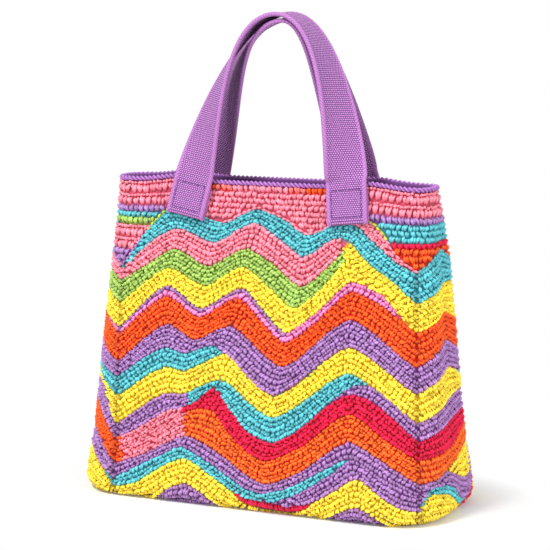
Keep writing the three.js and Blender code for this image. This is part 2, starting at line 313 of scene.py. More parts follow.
def section(height, inset):
    share = height / BAG_HEIGHT
    half_width = (BASE_WIDTH + (MOUTH_WIDTH - BASE_WIDTH) * share) / 2 - inset
    half_depth = (BASE_DEPTH + (MOUTH_DEPTH - BASE_DEPTH) * share) / 2 - inset
    return half_width, half_depth, BASE_CORNER + (MOUTH_CORNER - BASE_CORNER) * share - inset


def wall(side, across, rise, out=0.0):
    across, rise = np.broadcast_arrays(np.asarray(across, float), np.asarray(rise, float))
    bend = np.maximum(0, 1 - rise / CURVE_RUN) * pi / 2
    height = BOTTOM_ROUND * (1 - np.sin(bend)) + np.maximum(0, rise - CURVE_RUN)
    half_width, half_depth, corner = section(height, BOTTOM_ROUND * (1 - np.cos(bend)))
    left, right = (np.interp(height, [0, BAG_HEIGHT], turns) for turns in (LEFT_SEAM, RIGHT_SEAM))
    half, reach = half_width, half_depth
    if side in (RIGHT, LEFT):
        half, reach = half_depth, half_width
        left, right = pi / 2 - right, pi / 2 - left
    flat = half - corner
    run = np.abs(across) * (flat + corner * np.where(across < 0, left, right))
    turn = np.maximum(0, run - flat) / corner
    x = np.sign(across) * (np.minimum(run, flat) + corner * np.sin(turn))
    y = -(reach - corner + corner * np.cos(turn))
    share = np.clip(rise / BAG_HEIGHT, 0, 1)
    waves = sum(size * np.sin(wide * across + tall * share + start * side)
                for size, wide, tall, start in WAVES)
    slack = (SLACK * waves - HOLLOW[side]) * np.sin(pi * share)
    slack = slack - NIP[side] * np.clip(4 * share - 3, 0, 1) ** 2
    bulge = BULGE * np.sin(pi * np.clip(rise / BULGE_RUN, 0, 1))
    out = out + slack * (1 - across**2) + bulge
    x = x + np.sign(across) * np.sin(turn) * out * np.cos(bend)
    y = y - np.cos(turn) * out * np.cos(bend)
    c, s = math.cos(side * pi / 2), math.sin(side * pi / 2)
    return np.stack([c * x - s * y, s * x + c * y, height - out * np.sin(bend)], -1)


def rise_of(height):
    height = np.asarray(height, float)
    share = 1 - np.arcsin(np.clip(1 - height / BOTTOM_ROUND, -1, 1)) / (pi / 2)
    above = np.where(height < BOTTOM_ROUND, CURVE_RUN * share, height - BOTTOM_ROUND + CURVE_RUN)
    return np.where(height < 0, height, above)


print("half way up the front:", wall(FRONT, 0, rise_of(BAG_HEIGHT / 2)).round(1))

# %% [markdown]
# ## One leg of a stitch
# Crochet seen close up is thousands of short, plump legs of yarn that dive into the cloth at both
# ends. One leg is a small grid rolled over a strand, fuller towards its upper end. Its colour has
# painted shade at its sides and ends, where little light gets in, and a painted highlight on its
# crown. It could be copied as an object, but the bag has over twenty thousand, so the same few
# faces are laid again and again into one mesh.

# %% Rolling a grid into a leg of yarn
LEG_ROUND, LEG_LONG, LEG_WRAP = 4, 3, 1.15
LEG_FULL, LEG_ARCH, LEG_END = 1.45, 0.75, 0.43
LEG_UNEVEN, THICK_UNEVEN, SHADE_UNEVEN = 0.33, 0.08, 0.11
# A leg's painted shade and highlight: LEG_DARK and LEG_PALE give its darkest painted shade, lighter
# for pale yarn, LEG_LIGHT its painted highlight, and LEG_SIDE and LIGHT_ALONG how the painted light
# falls off at its sides and ends.
LEG_DARK, LEG_PALE, LEG_LIGHT = 0.40, 0.36, 1.14
LEG_SIDE, LIGHT_ALONG = 0.55, ([0, 0.33, 0.67, 1], [0, 0.8, 1, 0.75])
DIVE = (-2.6, 1.95)
leg = bmesh.new()
bmesh.ops.create_grid(leg, x_segments=LEG_ROUND, y_segments=LEG_LONG, size=1)
leg_angle = np.array([pi / 2 * (1 - LEG_WRAP * v.co.x) for v in leg.verts])
leg_along = np.array([(v.co.y + 1) / 2 for v in leg.verts])
leg_faces = np.array([[v.index for v in face.verts] for face in leg.faces])
leg.free()
leg_swell = np.sin(pi * leg_along**LEG_FULL)
# Painted light across each leg: full on its crown, less at its sides, least at its lower end.
leg_painted_light = LEG_SIDE + (1 - LEG_SIDE) * np.clip(np.sin(leg_angle), 0, 1)
leg_painted_light = leg_painted_light * np.interp(leg_along, *LIGHT_ALONG)
rng = np.random.default_rng(29)


def unit(vectors):
    return vectors / np.linalg.norm(vectors, axis=-1, keepdims=True)


def lay_legs(spots, start, end, thick, colour, dive=DIVE):
    """One leg at each spot, from start to end, both as (along the row, up the cloth). dive is how
    deep its ends sit in the cloth, and how far the middle rises above them."""
    count = len(spots["at"])
    start, end = (np.stack(np.broadcast_arrays(*p, np.zeros(count))[:2], -1) for p in (start, end))
    start = start + rng.normal(0, LEG_UNEVEN * thick, start.shape)
    end = end + rng.normal(0, LEG_UNEVEN * thick, end.shape)
    way = unit(end - start)
    side = np.stack([way[:, 1], -way[:, 0]], -1)
    radius = (thick * rng.normal(1, THICK_UNEVEN, count))[:, None]
    radius = radius * (LEG_END + (1 - LEG_END) * leg_swell)
    flat = start[:, None] * (1 - leg_along)[:, None] + end[:, None] * leg_along[:, None]
    flat = flat + side[:, None] * (radius * np.cos(leg_angle))[..., None]
    out = dive[0] + dive[1] * leg_swell**LEG_ARCH + radius * np.sin(leg_angle)
    points = spots["at"][:, None] + spots["along"][:, None] * flat[..., :1]
    points = points + spots["up"][:, None] * flat[..., 1:] + spots["out"][:, None] * out[..., None]
    colours = np.broadcast_to(colour, (count, 3)) * rng.normal(1, SHADE_UNEVEN, (count, 1))
    return points, colours, np.linalg.norm(end - start, axis=-1)


print("a leg has", len(leg_faces), "faces")

# %% [markdown]
# ## A piece of crochet
# The legs of a panel become one mesh. Each keeps its own yarn colour, with painted shade and
# highlights in it, a map along the strand for the plies, and a square of its own on the map that
# textures are baked to.

# %% Legs into a piece
DEEPEN, BRIGHTNESS = np.array([0.8, 1.1, 0.95]), np.array([0.21, 0.72, 0.07])
BAKE_EDGE, ROUND_SPARE = 0.08, 0.1


def put_piece(name, mesh, material, nodes=()):
    mesh.materials.append(material)
    piece = add_object(name, mesh)
    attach(piece, "root")
    if nodes:
        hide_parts(*nodes)
    return piece


def shade_deepened(colours, depth):
    """Yarn colours as painted for the yarn's own shade, where they grow stronger and warmer."""
    return colours ** (1 + DEEPEN * depth)


# The colours set here carry painted shade, and on the legs painted highlights as well.
def set_yarn(mesh, colours):
    colours = colours.reshape(-1, 3)
    colours = np.c_[colours, np.ones(len(colours))].astype(np.float32)
    layer = mesh.color_attributes.new("yarn", "FLOAT_COLOR", "POINT")
    layer.data.foreach_set("color", colours.ravel())


def set_map(mesh, name, places):
    layer = mesh.uv_layers.new(name=name)
    layer.data.foreach_set("uv", places.astype(np.float32).ravel())


def stitched(name, legs, material, nodes=()):
    points, colours, lengths = (np.concatenate([part[k] for part in legs]) for k in range(3))
    count, size = points.shape[:2]
    points = points.reshape(-1, 3) * MM
    points[:, 2] = np.maximum(points[:, 2], 0)
    faces = (leg_faces[None] + np.arange(count)[:, None, None] * size).reshape(-1, 4)
    mesh = bpy.data.meshes.new(name)
    mesh.from_pydata(points, [], faces)
    mesh.shade_smooth()
    # Painted shade at the legs' sides and lower ends and a painted highlight on their crowns go
    # into the yarn colour, which grows stronger and warmer in the painted shade.
    dark = LEG_DARK + LEG_PALE * (colours @ BRIGHTNESS)[:, None]
    shade = dark + (LEG_LIGHT - dark) * leg_painted_light
    set_yarn(mesh, shade_deepened(colours[:, None], 1 - leg_painted_light[None, :, None]) * shade[..., None])
    corner = leg_faces.ravel()
    around = np.broadcast_to(leg_angle[corner] / pi, (count, len(corner)))
    along = np.broadcast_to(leg_along[corner], (count, len(corner)))
    set_map(mesh, "strand", np.stack([along * lengths[:, None], around], -1))
    cells = math.ceil(math.sqrt(count))
    cell = np.stack(np.divmod(np.arange(count), cells), -1)[:, None]
    in_cell = np.stack([(around + ROUND_SPARE) / (1 + 2 * ROUND_SPARE), along], -1)
    set_map(mesh, "OFBake", (cell + BAKE_EDGE + (1 - 2 * BAKE_EDGE) * in_cell) / cells)
    print(name, count, "legs,", 2 * len(faces), "triangles")
    return put_piece(name, mesh, material, nodes)


print("pink in its own shade:", shade_deepened(PINK, 1).round(3))

# %% [markdown]
# ## Rows of stitches
# A row follows a line on the wall. Its stitches stand the same distance apart along it, each
# square to the line, so they fan out over the hills and crowd in the valleys as real ones do.

# %% Spots along a row
FAN_RUN, LOWEST, STEEPEST = 14, 0.3, 0.2
STEP_ACROSS, STEP_UP = 0.004, 0.5


def steps_of(points):
    return np.linalg.norm(np.diff(points, axis=0), axis=-1)


def run_of(points):
    return float(steps_of(points).sum())


def run_along(points):
    """How far each point of a line is from its start, along the line."""
    return np.r_[0, np.cumsum(steps_of(points))]


def lookup(stops, length, values):
    """Vectors along a line, read at the stops."""
    return np.stack([np.interp(stops, length, column) for column in values.T], -1)


def row_spots(side, across, height, tall, stitch, shift):
    rise = np.maximum(rise_of(height), LOWEST)
    points = wall(side, across, rise)
    length = run_along(points)
    count = max(1, round(length[-1] / stitch))
    stops = (np.arange(count) + 0.5 + shift) * length[-1] / count
    here, up_here = np.interp(stops, length, across), np.interp(stops, length, rise)
    window = max(1, int(len(across) * FAN_RUN / length[-1]) // 2)
    course = np.pad(np.gradient(points, length, axis=0), ((window, window), (0, 0)), "edge")
    course = np.stack([np.convolve(c, np.ones(2 * window + 1), "valid") for c in course.T], -1)
    along = unit(lookup(stops, length, course))
    wide = wall(side, here + STEP_ACROSS, up_here) - wall(side, here - STEP_ACROSS, up_here)
    high = wall(side, here, up_here + STEP_UP) - wall(side, here, up_here - STEP_UP)
    out = unit(np.cross(wide, high))
    along = unit(along - out * (along * out).sum(-1, keepdims=True))
    slant = np.sqrt(np.maximum(STEEPEST, 1 - along[:, 2] ** 2))
    return {"at": wall(side, here, up_here), "along": along, "up": np.cross(out, along),
            "out": out, "across": here, "tall": np.interp(stops, length, tall) * slant,
            "pitch": length[-1] / count}


# %% [markdown]
# ## Ripple stripes
# The stripes hang in waves. Each is given by the line of its lower edge, through a few points
# (across the panel, millimetres above the table), and by its yarn, which may change part way
# along the row. Between points it is part curve and part straight, for hills that are a little
# pointed. Where a stripe runs out, its line meets the one above.

# %% Lines and yarns
POINTED = 0.4


def ripple(points):
    across, height = np.array(points, float).T
    slope = np.gradient(height, across)

    def line(u):
        k = np.clip(np.searchsorted(across, u) - 1, 0, len(across) - 2)
        gap = across[k + 1] - across[k]
        t = np.clip((u - across[k]) / gap, 0, 1)
        ease = t * t * (3 - 2 * t)
        pull = slope[k] * t * (1 - t) ** 2 - slope[k + 1] * t**2 * (1 - t)
        shape = ease * (1 - POINTED) + t * POINTED
        return height[k] + (height[k + 1] - height[k]) * shape + pull * gap * (1 - POINTED)

    return line


def yarns(*changes):
    """Yarns from left to right, and between them the places where one changes to the next."""
    colours, ends = np.array(changes[::2]), np.array(changes[1::2])
    return lambda u: colours[np.searchsorted(ends, u)]


def yarn_at(tone, across):
    """The yarn of a row, which is one colour or changes along it."""
    return tone(across) if callable(tone) else np.tile(tone, (len(across), 1))


# %% [markdown]
# The front's stripes, from the top down. Lines that lie together for a stretch share its points.

# %% Stripes of the front and back
HIGH_LEFT = [(-1, 208), (-.76, 252), (-.68, 262), (-.47, 257), (-.3, 251), (-.05, 266),
             (.146, 257), (.292, 245), (.469, 257)]
MIDDLE_LEFT = [(-1, 52), (-.84, 62), (-.72, 72), (-.59, 82), (-.5, 85), (-.39, 92), (-.27, 105),
               (-.15, 89), (-.03, 72), (.15, 62), (.312, 76)]
LOW_LEFT = [(-1, 9), (-.83, 14), (-.7, 25), (-.58, 35), (-.46, 41), (-.23, 27)]
LOW_RIGHT = [(.424, 16), (.515, 25), (.657, 39), (.783, 27), (.888, 17), (1, 14)]
BELOW = [(-1, -18), (1, -18)]
PANEL_TOP = HIGH_LEFT + [(.553, 272), (.616, 276), (.694, 260), (.782, 249), (.823, 239.5),
                         (.869, 231), (1, 217)]
PANEL = [
    (HIGH_LEFT + [(.553, 258), (.631, 254), (.693, 246), (.76, 238.5), (.858, 227), (1, 217)],
     PINK),
    ([(-1, 205), (-.75, 236), (-.62, 245), (-.33, 234), (-.06, 254), (.156, 236), (.26, 226),
      (.49, 244), (.573, 242), (.676, 226), (.862, 208), (1, 191)], TEAL),
    ([(-1, 196), (-.85, 208), (-.62, 227), (-.37, 213), (-.1, 231), (.073, 219), (.27, 200),
      (.468, 223), (.573, 240), (.676, 226), (.862, 208), (1, 191)], PINK),
    ([(-1, 174), (-.65, 209), (-.38, 195), (-.11, 214), (.083, 195), (.227, 180), (.363, 193),
      (.467, 210), (.573, 228), (.676, 215), (.862, 197), (1, 180)],
     yarns(GREEN, .545, YELLOW)),
    ([(-1, 152), (-.65, 194), (-.4, 175), (-.11, 196), (.196, 159), (.372, 178), (.592, 207),
      (.778, 198), (1, 166)], YELLOW),
    ([(-1, 149), (-.65, 189), (-.4, 171), (-.12, 191.5), (.194, 154.5), (.371, 173.5), (.593, 203),
      (.778, 193.5), (1, 166)], yarns(LILAC, .18, MAUVE)),
    ([(-1, 146), (-.65, 184), (-.41, 167), (-.14, 187), (.195, 150), (.371, 169), (.591, 199),
      (.777, 189), (.96, 171), (1, 166)], MAUVE),
    ([(-1, 121), (-.63, 159), (-.43, 147), (-.18, 162), (.184, 129), (.589, 175), (1, 136)],
     ORANGE),
    ([(-1, 108), (-.64, 138), (-.5, 134), (-.29, 143), (.132, 103), (.596, 151), (1, 114)],
     LILAC),
    ([(-1, 90), (-.62, 121), (-.5, 118), (-.29, 132), (-.18, 137), (-.08, 125), (.132, 103),
      (.596, 151), (1, 114)], TEAL),
    ([(-1, 64), (-.61, 97), (-.51, 97), (-.22, 113), (.141, 84), (.603, 128), (1, 89)], YELLOW),
    (MIDDLE_LEFT + [(.498, 104), (.612, 117), (.735, 119), (1, 89)],
     yarns(LILAC, -.45, TEAL)),
    (MIDDLE_LEFT + [(.498, 102), (.601, 110), (.702, 108), (.871, 91), (1, 73)], LILAC),
    ([(-1, 41), (-.75, 57), (-.62, 68), (-.5, 80), (-.38, 86), (-.26, 85), (-.14, 67), (.11, 46),
      (.321, 61), (.608, 94), (.786, 77), (1, 57)],
     yarns(ORANGE, -.96, PINK, -.5, CRIMSON)),
    ([(-1, 30), (-.79, 40), (-.45, 61), (-.12, 43), (.138, 26.5), (.328, 40), (.603, 70),
      (.791, 57), (1, 37)], yarns(ORANGE, -.93, PINK, -.47, AMBER)),
    ([(-1, 16), (-.68, 39), (-.5, 50), (-.23, 36), (.098, 17), (.247, 23.5), (.418, 38.5),
      (.61, 55), (.787, 43), (1, 26)], LILAC),
    (LOW_LEFT + [(.029, 11.5), (.138, 10.5), (.256, 16), (.416, 31), (.528, 44), (.61, 55),
                 (.787, 43), (1, 26)], TEAL),
    (LOW_LEFT + [(.029, 11.5), (.137, 10), (.275, 9)] + LOW_RIGHT, LILAC),
    (LOW_LEFT + [(-.1, 17.5), (.029, 5), (.15, 2.5), (.3, 3), (.4, 12)] + LOW_RIGHT, CRIMSON),
    ([(-1, -16), (-.69, 1), (-.57, 13), (-.45, 19), (-.31, 12), (-.18, 0), (.029, -7), (.392, -6),
      (.49, 2), (.651, 15), (.805, 3), (1, -12)], YELLOW),
    (BELOW, LILAC),
]
print("stripes on a panel:", len(PANEL))

# %% [markdown]
# The narrow sides carry on the same stripes round the corner. The rows climb a little towards
# the middle of the side and fall again to meet the next panel, where the yarns have changed.

# %% Stripes of the narrow sides
GUSSET_TOP = [(-1, 217), (-.1, 234), (1, 208)]
GUSSET = [
    ([(-1, 191), (-.1, 205), (.5, 206), (1, 196)], yarns(TEAL, .46, PINK)),
    ([(-1, 178), (-.1, 193), (.5, 188), (1, 174)], yarns(YELLOW, .46, GREEN)),
    ([(-1, 166), (-.1, 181), (1, 152)], YELLOW),
    ([(-1, 166), (-.1, 181), (.3, 174), (1, 146)], MAUVE),
    ([(-1, 136), (-.1, 156), (1, 121)], ORANGE),
    ([(-1, 114), (-.1, 132), (1, 108)], LILAC),
    ([(-1, 114), (-.1, 132), (.2, 126), (1, 90)], TEAL),
    ([(-1, 89), (-.1, 105), (.45, 108), (.73, 99), (.9, 80), (1, 64)], YELLOW),
    ([(-1, 73), (-.1, 86), (.45, 88), (.7, 78), (.89, 62), (1, 52)], LILAC),
    ([(-1, 57), (-.1, 62), (.45, 75), (.7, 66), (.9, 50), (1, 41)],
     yarns(CRIMSON, .46, ORANGE)),
    ([(-1, 37), (-.7, 38), (-.4, 43), (0, 48), (.45, 58), (.67, 55), (.91, 40), (1, 30)],
     yarns(AMBER, .46, ORANGE)),
    ([(-1, 37), (-.7, 38), (-.4, 42), (0, 34), (.3, 30), (.46, 57), (.67, 55), (.91, 40), (1, 30)],
     YELLOW),
    ([(-1, 18), (-.88, 29), (-.45, 31), (-.2, 26), (.05, 12), (.3, 12), (.46, 40), (.62, 40),
      (.86, 25), (1, 16)], LILAC),
    ([(-1, 16), (-.88, 25), (-.6, 26), (-.3, 19), (-.03, 9), (.12, 6), (.3, 10), (.46, 40),
      (.62, 40), (.86, 24), (1, 9)], TEAL),
    (BELOW, yarns(YELLOW, .1, CRIMSON, .4, YELLOW)),
]
tops = [ripple(PANEL_TOP), ripple(GUSSET_TOP)] * 2
stripes = [[(ripple(points), tone) for points, tone in table] for table in (PANEL, GUSSET)] * 2


def stripe_yarn(side, across, height):
    colours = np.tile(LILAC, (len(across), 1))
    upper = tops[side]
    for lower, tone in stripes[side]:
        inside = (height <= upper(across)) & (height > lower(across))
        colours[inside] = yarn_at(tone, across[inside])
        upper = lower
    return colours


print("stripes on a narrow side:", len(GUSSET))

# %% [markdown]
# ## Working the stripes
# A stripe is a whole number of rows. Where it grows thin a row is dropped, as a crocheter skips
# stitches, and each stitch is a V of two legs. The V leans one way in one row and the other way
# in the next, and every other row stands out as a ridge, because the work is turned at each end.
# The ridge rows are painted lighter and the rows between them darker, and stitches close to a seam
# get painted shade, as in the seam's valley.

# %% Rows of V stitches
ROW, THIN_ROW, STITCH, YARN_THICK = 5.2, 2.5, 5.1, 1.48
BOTTOM_ROW, LEAN, RIDGE, RIDGE_LIGHT = 1.5, 0.95, 0.4, 0.08
SEAM_WIDE, SEAM_SHADE, SEAM_FREE, LEAST_RUN = 3.5, 0.4, 0.995, 4
LEAN_UNEVEN, V_FOOT, V_HEAD, V_OVER, QUARTER = 0.35, 0.1, 0.25, 0.6, 0.25


def turned(row):
    """Which way a row lies: the work is turned after each."""
    return 1 if row % 2 else -1


def vee(spots, colour, lean):
    wide, tall = spots["pitch"], spots["tall"]
    lean = rng.normal(lean, LEAN_UNEVEN, len(spots["at"]))
    legs = []
    for side in (-1, 1):
        start = (side * V_FOOT * wide - lean, -0.5 * tall)
        end = (side * V_HEAD * wide + lean, 0.5 * tall + V_OVER)
        legs.append(lay_legs(spots, start, end, YARN_THICK * wide / STITCH, colour))
    return legs


def runs_of(values):
    """Neighbouring equal values, as (first, last, value)."""
    edges = np.flatnonzero(np.diff(values)) + 1
    return zip(np.r_[0, edges], np.r_[edges, len(values)], values[np.r_[0, edges]])


def work_stripes(side):
    across = np.linspace(-SEAM_FREE, SEAM_FREE, 400)
    legs, upper, done = [], tops[side], 0
    for lower, tone in stripes[side]:
        high, low = upper(across), np.maximum(lower(across), -BOTTOM_ROW)
        depth = np.maximum(high - low, 0)
        most = max(1, round(depth.max() / ROW))
        rows = np.minimum(most, np.floor(depth / THIN_ROW)).astype(int)
        for first, last, count in runs_of(rows):
            if last - first < LEAST_RUN:
                continue
            part = slice(first, last)
            for row in range(count):
                way = turned(done + row)
                height = high[part] - depth[part] * (row + 0.5) / count
                spots = row_spots(side, across[part], height, depth[part] / count, STITCH,
                                  QUARTER * way)
                spots["at"] = spots["at"] + spots["out"] * RIDGE * way
                # Ridge rows get painted light and the rows between them painted shade; stitches
                # near a seam get painted shade, as in the seam's valley.
                half = (BASE_DEPTH if side % 2 else BASE_WIDTH) / 2
                from_seam = (1 - np.abs(spots["across"])) * half
                seam_shade = SEAM_SHADE * np.exp(-((from_seam / SEAM_WIDE) ** 2))
                shade = 1 + RIDGE_LIGHT * way - seam_shade
                colour = yarn_at(tone, spots["across"]) * shade[:, None]
                legs += vee(spots, colour, LEAN * way)
        upper, done = lower, done + rows.max()
    return legs


print("a stitch is", STITCH, "mm wide, a row", ROW, "mm tall")

# %% [markdown]
# ## The cloth under the stitches
# Between the legs one looks into the shaded holes of the cloth, and inside the bag its flatter
# wrong side shows. Both are one grid, laid on the wall and thickened inwards. Outside it is painted
# dark, as the shade in the holes, and inside it has nearly the full yarn colour.

# %% A cloth shell
HOLE_DEPTH, CLOTH_THICK, HOLE_SHADE, WRONG_SIDE_SHADE = 2.3, 3.6, 0.66, 0.85


def lay_grid(columns, rows, place):
    """A grid whose corners run from 0 to 1 both ways, moved to where place puts them, in mm."""
    shape = bmesh.new()
    bmesh.ops.create_grid(shape, x_segments=columns, y_segments=rows, size=1)
    s = np.array([(v.co.x + 1) / 2 for v in shape.verts])
    t = np.array([(v.co.y + 1) / 2 for v in shape.verts])
    for vert, point in zip(shape.verts, place(s, t)):
        vert.co = point * MM
    shape.normal_update()
    return shape, s, t


def corners_of(mesh):
    """The vertex at each corner of each face."""
    corner = np.zeros(len(mesh.loops), int)
    mesh.loops.foreach_get("vertex_index", corner)
    return corner


def put_cloth(name, shape, colour_of, cell, node):
    """Thickens a grid, closes it, and gives it yarn colours, with painted shade outside and fuller
    inside.
    """
    outside = len(shape.verts)
    bmesh.ops.solidify(shape, geom=shape.faces[:], thickness=CLOTH_THICK * MM)
    mesh = mesh_of(name, shape)
    colours = np.tile(colour_of, (2, 1))
    # The outer face is painted dark, as the shade in the holes between the legs.
    colours[:outside] = shade_deepened(colours[:outside], 1) * HOLE_SHADE
    colours[outside:] *= WRONG_SIDE_SHADE
    set_yarn(mesh, colours)
    set_map(mesh, "strand", np.tile(cell, (2, 1))[corners_of(mesh)])
    return put_piece(name, mesh, yarn, [node])


def area_of(shape):
    return sum(face.calc_area() for face in shape.faces)


print("cloth", CLOTH_THICK, "mm thick,", HOLE_DEPTH, "mm below the stitches")

# %% [markdown]
# ## The four walls
# Front and back are the same panel turned round, and so are the two narrow sides. Each wall is a
# cloth shell cut along the top of the ripple, with its stitches on it. They could be one mesh,
# but an upper and a lower one keep each light enough to handle. The cut sizes are measured on the
# wall: the run between the seams low down, the height up to the highest hill, and the area.

# %% Front, sides and back
SIDES = [(FRONT, "front_panel", "front"), (RIGHT, "right_gusset", "right_side"),
         (BACK, "back_panel", "back"), (LEFT, "left_gusset", "left_side")]
WALL_COLUMNS, WALL_LINES, WALL_PLIES = (88, 36) * 2, 72, (80, 0.2)
for side, node, word in SIDES:
    legs, top_line = work_stripes(side), tops[side]
    half = len(legs) // 2
    upper = stitched(f"{word}_upper_stitches", legs[:half], yarn)
    lower = stitched(f"{word}_lower_stitches", legs[half:], yarn)

    def on_wall(s, t):
        across = s * 2 - 1
        return wall(side, across, np.maximum(rise_of(t * top_line(across)), 0.2), -HOLE_DEPTH)

    shape, s, t = lay_grid(WALL_COLUMNS[side], WALL_LINES, on_wall)
    height, area = t * top_line(s * 2 - 1), area_of(shape)
    colours = stripe_yarn(side, s * 2 - 1, height - 0.5)
    cloth = put_cloth(f"{word}_cloth", shape, colours, np.c_[s, height] * WALL_PLIES,
                      node)
    across = np.linspace(-1, 1, 200)
    wide, tall = run_of(wall(side, across, CURVE_RUN)), rise_of(top_line(across)).max()
    print(word, "cut", round(wide), "by", round(tall), "mm,", round(area * 1e4), "square cm")


# %% [markdown]
# ## The yoke
# Above the ripple the rows run straight round the bag. At both ends of a panel two rows of tall
# pink stitches come first below the rim, then thin bands of other yarn; between the handles one
# row is orange at its ends and the rest are pink. An edging row follows the top of the ripple.

# %% Rows of the yoke
CROCHET_TOP, TALL_STITCH, TALL_FROM, SMALL_STITCH = 287, 6.6, 9, 5.5
STRAP_WIDTH, STRAP_SPACING, STRAP_SHIFT = 38, 149, 5
RIM_LIFT, RIM_LIFT_SPREAD, LIFT_FADE = 4, 25, 45
SALMON = (PINK + ORANGE) / 2
ORANGE_ENDS = yarns(ORANGE, -.36, SALMON, -.22, PINK, .14, SALMON, .27, ORANGE)
RIGHT_ROWS = ([(PINK, 11.3)] * 2 + [(LILAC, 6.3)] + [(TEAL, 5.1)] * 3 + [(CRIMSON, 4.8)]
              + [(ORANGE, 6)] * 4)
LEFT_ROWS = ([(PINK, 11.3)] * 2 + [(LILAC, 6), (TEAL, 4.6), (GREEN, 6.6)] + [(PINK, 11.5)] * 2
             + [(LILAC, 5.6)] * 2)
MIDDLE_ROWS = [(ORANGE_ENDS, 6.2)] + [(PINK, 5)] * 8
YOKE = [[(-1, -.5, LEFT_ROWS), (-.5, .47, MIDDLE_ROWS), (.47, 1, RIGHT_ROWS)],
        [(-1, .46, RIGHT_ROWS), (.46, 1, LEFT_ROWS)]] * 2
EDGES = [yarns(LILAC, -.88, TEAL, -.82, LIME, -.6, TEAL, -.3, PINK, .64, LIME, .8, PINK),
         yarns(TEAL, .46, LILAC)] * 2


def rim_lift(side, across):
    """How far the handles pull the rim up, strongest at their outer edges."""
    if side in (RIGHT, LEFT):
        return np.zeros(np.shape(across))
    along = wall(side, across, rise_of(CROCHET_TOP))[..., 0] * (1 if side == FRONT else -1)
    away = (np.abs(along - STRAP_SHIFT) - (STRAP_SPACING + STRAP_WIDTH) / 2) / RIM_LIFT_SPREAD
    return RIM_LIFT * np.exp(-(away**2))


def yoke_yarn(side, across, share):
    """The yarn at a share of the way up from the ripple to the rim."""
    foot, colours = tops[side](across), np.tile(PINK, (len(across), 1))
    height = foot + (CROCHET_TOP - foot) * share
    for first, last, rows in YOKE[side]:
        low = CROCHET_TOP
        for tone, tall in rows:
            low -= tall
            inside = (across >= first) & (across <= last) & (height <= low + tall) & (height > low)
            colours[inside] = yarn_at(tone, across[inside])
    return colours


# %% [markdown]
# A tall stitch is two upright legs with a hole between them, under a chain. Low rows are worked
# in V stitches like the ripple. Where a row meets the ripple its stitches are cut short, and they
# are left out where too little room is left.

# %% Straight rows of tall and low stitches
POST_THICK, CHAIN_THICK, EDGE_THICK = 1.85, 1.35, 1.3
POST_FOOT, POST_HEAD, POST_TURN, CHAIN_HALF = 0.08, 0.24, 0.3, 0.3
EDGE_ROW, LEAST_TALL = 2.8, 2.4


def tall_stitch(spots, colour):
    wide, tall = spots["pitch"], spots["tall"]
    legs = []
    for side in (-1, 1):
        foot = (side * POST_FOOT * wide - POST_TURN, -0.5 * tall)
        head = (side * POST_HEAD * wide + POST_TURN, 0.5 * tall - 3.4)
        legs.append(lay_legs(spots, foot, head, POST_THICK, colour))
        start = (side * 0.25 * wide - CHAIN_HALF * wide, 0.5 * tall - 2.6)
        end = (side * 0.25 * wide + CHAIN_HALF * wide, 0.5 * tall - 1.2)
        legs.append(lay_legs(spots, start, end, CHAIN_THICK, colour))
    return legs


def yoke_row(side, first, last, high, row, tone, tall):
    across = np.linspace(first, last, 160)
    lift = rim_lift(side, across) * max(0, 1 - (CROCHET_TOP - high) / LIFT_FADE)
    stitch = TALL_STITCH if tall > TALL_FROM else SMALL_STITCH
    spots = row_spots(side, across, high - tall / 2 + lift, np.full(len(across), tall), stitch,
                      QUARTER * turned(row))
    upper = high + np.interp(spots["across"], across, lift)
    low = np.maximum(upper - tall, tops[side](spots["across"]) + EDGE_ROW)
    keep = upper - low > LEAST_TALL
    move = ((upper + low) / 2 - (upper - tall / 2))[keep]
    spots = {name: value[keep] if np.ndim(value) else value for name, value in spots.items()}
    spots["at"] = spots["at"] + spots["up"] * move[:, None]
    spots["tall"] = (upper - low)[keep]
    colour = yarn_at(tone, spots["across"])
    if tall > TALL_FROM:
        return tall_stitch(spots, colour)
    return vee(spots, colour, LEAN * turned(row))


def work_yoke(side):
    legs = []
    for first, last, rows in YOKE[side]:
        high = CROCHET_TOP
        for row, (tone, tall) in enumerate(rows):
            legs += yoke_row(side, first, last, high, row, tone, tall)
            high -= tall
    across = np.linspace(-1, 1, 300)
    height = tops[side](across) + EDGE_ROW / 2
    spots = row_spots(side, across, height, np.full(len(across), EDGE_ROW), STITCH, 0)
    reach, colour = 0.55 * spots["pitch"], EDGES[side](spots["across"])
    return legs + [lay_legs(spots, (-reach, -0.5), (reach, 0.5), EDGE_THICK, colour)]


yoke_legs = [part for side in range(4) for part in work_yoke(side)]
yoke_stitches = stitched("yoke_stitches", yoke_legs, yarn)

# %% [markdown]
# The yoke's cloth is a band that goes once round the bag, from the ripple up to the rim. The rim
# rises a little where the handles pull on it. The band is one grid, and a quarter of its columns
# lies on each side of the bag.

# %% The band of cloth behind the yoke
YOKE_COLUMNS, YOKE_LINES, YOKE_PLIES = 160, 14, (700, 14)


def rim_rise(side, across):
    return rise_of(CROCHET_TOP) + rim_lift(side, across)


def at_rim(side, across, above=0, out=0):
    return wall(side, across, rim_rise(side, across) + above, out)


def round_bag(s, place):
    """What place(side, across, which of them) says at shares of the way round the bag."""
    sides, values = np.minimum((s * 4).astype(int), 3), np.zeros((len(s), 3))
    for side in range(4):
        here = sides == side
        values[here] = place(side, (s[here] * 4 - side) * 2 - 1, here)
    return values


def on_yoke(s, t):
    def place(side, across, here):
        low = rise_of(tops[side](across))
        return wall(side, across, low + (rim_rise(side, across) - low) * t[here], -HOLE_DEPTH)
    return round_bag(s, place)


